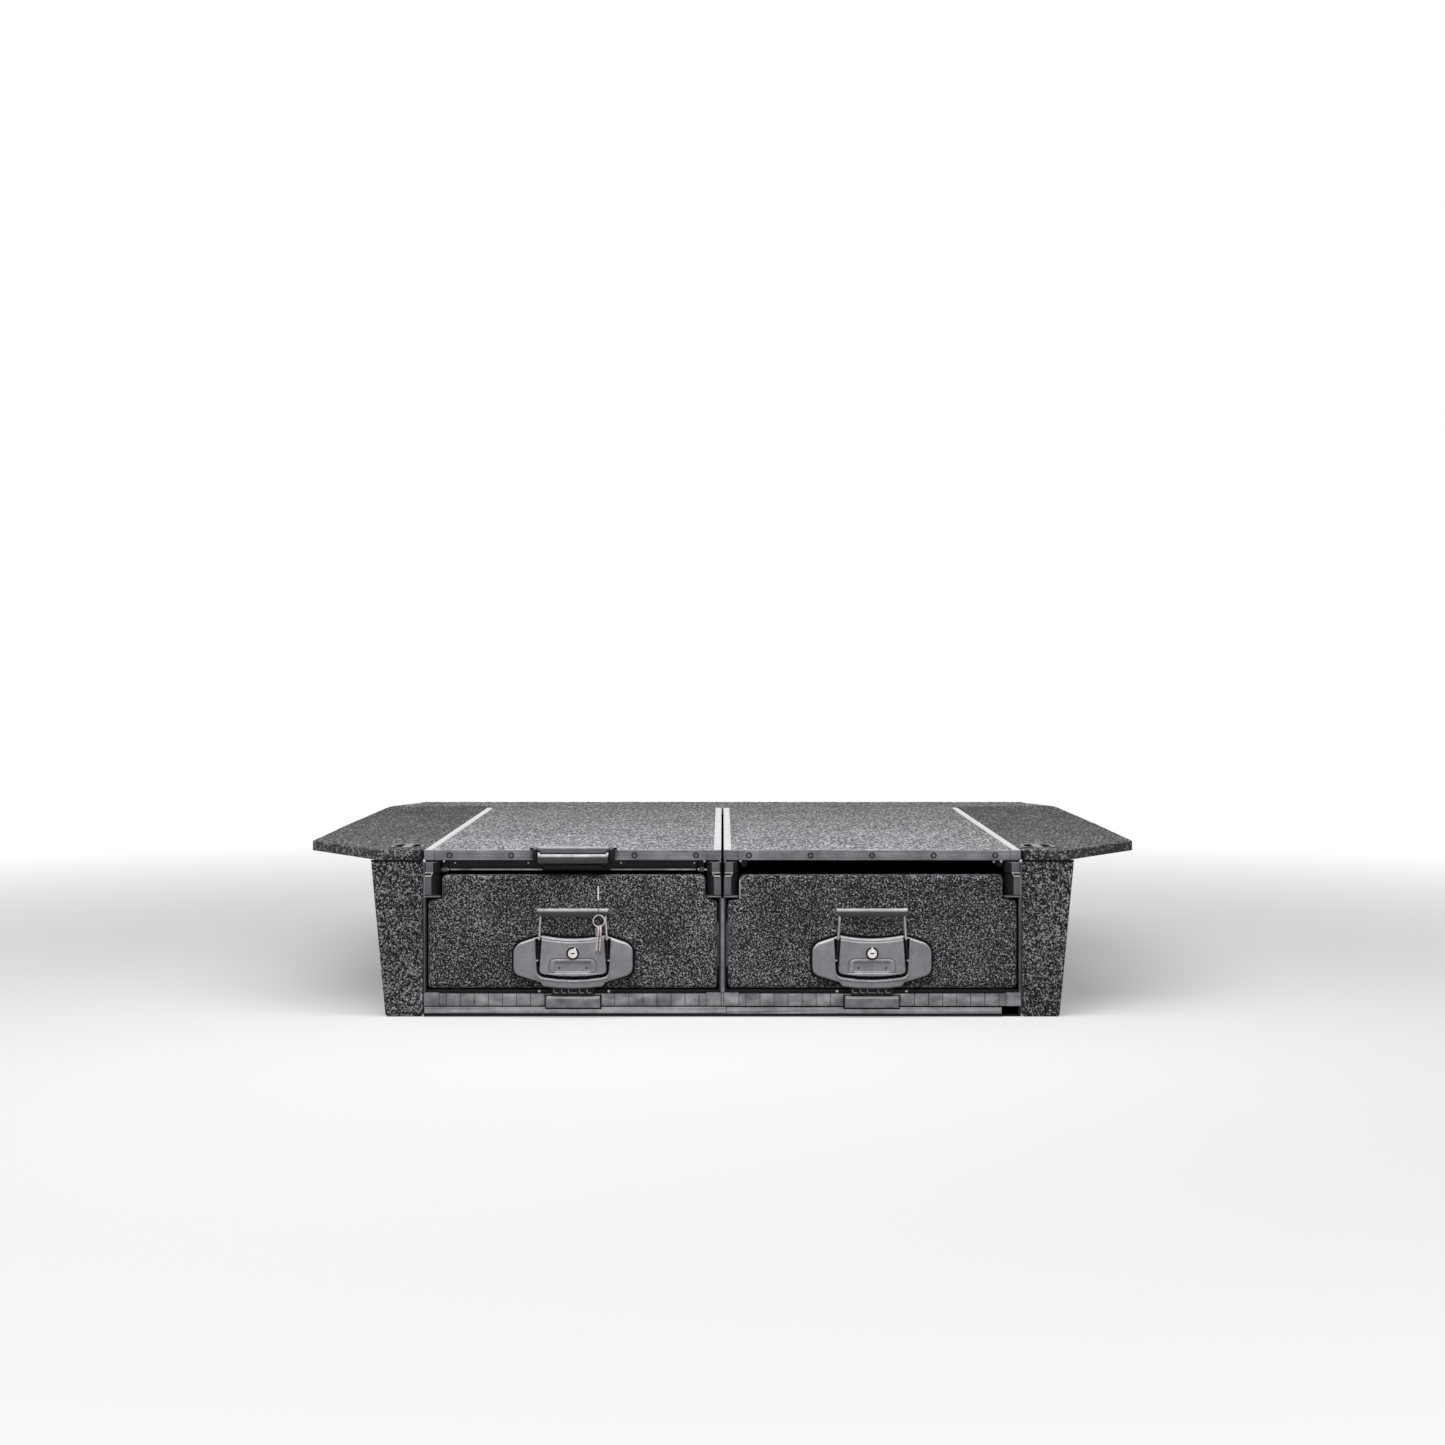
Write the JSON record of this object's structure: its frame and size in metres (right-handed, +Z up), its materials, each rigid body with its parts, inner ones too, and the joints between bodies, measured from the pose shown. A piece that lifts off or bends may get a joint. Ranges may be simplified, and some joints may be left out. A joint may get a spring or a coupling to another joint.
{
  "type": "ute drawer system",
  "caption": "Twin drawer system for a ute tub, with a pull-out roller deck over one drawer, a fixed deck over the other, carpeted side wings and sprung bail handles.",
  "frame": {"origin": "centre of the bounding box at floor level", "axes": "drawer fronts face -Y, +X to the viewer's right when facing the fronts, +Z up"},
  "size_m": [1.47, 1.5305, 0.2905],
  "materials": {
    "carpet": "needle-punched carpet, charcoal with light flecks",
    "deck_carpet": "needle-punched carpet, grey with light flecks",
    "satin_aluminium": "satin anodised",
    "bright_aluminium": "brushed, bright anodised",
    "black_steel": "black powder coat",
    "zinc_steel": "zinc plated",
    "black_plastic": "moulded, fine satin grain",
    "grey_plastic": "moulded, satin",
    "chrome": "polished",
    "nickel": "nickel plated",
    "tie_wire": "bright wire"
  },
  "bodies": {
    "root": {"left_outer_side": "black_steel", "left_outer_corner_cap": "black_plastic", "left_outer_runner_fixed": "zinc_steel", "left_inner_side": "black_steel", "left_inner_corner_cap": "black_plastic", "left_inner_runner_fixed": "zinc_steel", "left_sill_band": "satin_aluminium", "left_catch_plate": "satin_aluminium", "left_wing_deck": "carpet", "left_tie_down_cup": "black_plastic", "left_fascia": "carpet", "right_outer_side": "black_steel", "right_outer_corner_cap": "black_plastic", "right_outer_runner_fixed": "zinc_steel", "right_inner_side": "black_steel", "right_inner_corner_cap": "black_plastic", "right_inner_runner_fixed": "zinc_steel", "right_sill_band": "satin_aluminium", "right_catch_plate": "satin_aluminium", "right_wing_deck": "carpet", "right_tie_down_cup": "black_plastic", "right_fascia": "carpet", "base_plate": "black_steel", "back_panel": "black_steel", "rear_infill": "carpet", "fixed_deck_board": "deck_carpet", "fixed_deck_trim": "satin_aluminium", "right_inner_rail": "bright_aluminium", "right_outer_rail": "bright_aluminium"},
    "left_runner_middles": {"left_outer_runner_middle": "zinc_steel", "left_inner_runner_middle": "zinc_steel"},
    "left_drawer": {"left_drawer_tray": "carpet", "left_drawer_front": "carpet", "left_handle_housing": "grey_plastic"},
    "left_bail": {"left_bail_wire": "zinc_steel", "left_bail_grip": "grey_plastic", "key_tie": "tie_wire"},
    "left_lock": {"left_lock_barrel": "chrome"},
    "left_latch": {"left_latch_tongue": "black_plastic"},
    "right_runner_middles": {"right_outer_runner_middle": "zinc_steel", "right_inner_runner_middle": "zinc_steel"},
    "right_drawer": {"right_drawer_tray": "carpet", "right_drawer_front": "carpet", "right_handle_housing": "grey_plastic"},
    "right_bail": {"right_bail_wire": "zinc_steel", "right_bail_grip": "grey_plastic"},
    "right_lock": {"right_lock_barrel": "chrome"},
    "right_latch": {"right_latch_tongue": "black_plastic"},
    "keys": {"key_ring": "nickel", "key_one": "nickel", "key_two": "nickel"},
    "roller_deck": {"roller_deck_board": "deck_carpet", "roller_deck_trim": "satin_aluminium", "left_outer_rail": "bright_aluminium", "left_inner_rail": "bright_aluminium", "roller_deck_beam": "black_steel", "deck_pull_frame": "black_plastic"},
    "deck_pull": {"deck_pull_paddle": "grey_plastic"},
    "deck_roller_outer": {"left_outer_deck_roller": "black_plastic"},
    "deck_roller_inner": {"left_inner_deck_roller": "black_plastic"}
  },
  "joints": [
    {"name": "left_drawer_slide", "type": "slide", "parent": "root", "child": "left_drawer", "axis": [0, -1, 0], "range_m": [0, 1]},
    {"name": "left_runner_slide", "type": "slide", "parent": "root", "child": "left_runner_middles", "axis": [0, -1, 0], "range_m": [0, 0.5]},
    {"name": "left_bail_hinge", "type": "hinge", "parent": "left_drawer", "child": "left_bail", "pos_m": [-0.2545, -0.74375, 0.098], "axis": [1, 0, 0], "range_deg": [0, 60], "stiffness_Nm_per_rad": 0.35, "springref_deg": -28.65},
    {"name": "left_latch_slide", "type": "slide", "parent": "left_drawer", "child": "left_latch", "axis": [0, 0, 1], "range_m": [0, 0.008]},
    {"name": "left_lock_turn", "type": "hinge", "parent": "left_drawer", "child": "left_lock", "pos_m": [-0.2545, -0.74975, 0.1106], "axis": [0, 1, 0], "range_deg": [0, 90]},
    {"name": "right_drawer_slide", "type": "slide", "parent": "root", "child": "right_drawer", "axis": [0, -1, 0], "range_m": [0, 1]},
    {"name": "right_runner_slide", "type": "slide", "parent": "root", "child": "right_runner_middles", "axis": [0, -1, 0], "range_m": [0, 0.5]},
    {"name": "right_bail_hinge", "type": "hinge", "parent": "right_drawer", "child": "right_bail", "pos_m": [0.2545, -0.74375, 0.098], "axis": [1, 0, 0], "range_deg": [0, 60], "stiffness_Nm_per_rad": 0.35, "springref_deg": -28.65},
    {"name": "right_latch_slide", "type": "slide", "parent": "right_drawer", "child": "right_latch", "axis": [0, 0, 1], "range_m": [0, 0.008]},
    {"name": "right_lock_turn", "type": "hinge", "parent": "right_drawer", "child": "right_lock", "pos_m": [0.2545, -0.74975, 0.1106], "axis": [0, 1, 0], "range_deg": [0, 90]},
    {"name": "key_swing", "type": "hinge", "parent": "left_bail", "child": "keys", "pos_m": [-0.2099, -0.75525, 0.176], "axis": [-1, 0, 0], "range_deg": [0, 60]},
    {"name": "roller_deck_slide", "type": "slide", "parent": "root", "child": "roller_deck", "axis": [0, -1, 0], "range_m": [0, 0.9]},
    {"name": "deck_pull_hinge", "type": "hinge", "parent": "roller_deck", "child": "deck_pull", "pos_m": [-0.2545, -0.73225, 0.2785], "axis": [-1, 0, 0], "range_deg": [0, 25], "stiffness_Nm_per_rad": 0.3, "springref_deg": -34.38},
    {"name": "deck_roller_outer_spin", "type": "hinge", "parent": "root", "child": "deck_roller_outer", "pos_m": [-0.482, -0.70275, 0.2497], "axis": [1, 0, 0], "continuous": true},
    {"name": "deck_roller_inner_spin", "type": "hinge", "parent": "root", "child": "deck_roller_inner", "pos_m": [-0.03, -0.70275, 0.2497], "axis": [1, 0, 0], "continuous": true}
  ],
  "couplings": [
    {"joint": "left_runner_slide", "follows": "left_drawer_slide", "ratio": 0.5},
    {"joint": "left_latch_slide", "follows": "left_bail_hinge", "m_per_rad": 0.00763},
    {"joint": "right_runner_slide", "follows": "right_drawer_slide", "ratio": 0.5},
    {"joint": "right_latch_slide", "follows": "right_bail_hinge", "m_per_rad": 0.00763},
    {"joint": "deck_roller_outer_spin", "follows": "roller_deck_slide", "rad_per_m": 181.82},
    {"joint": "deck_roller_inner_spin", "follows": "roller_deck_slide", "rad_per_m": 181.82}
  ]
}
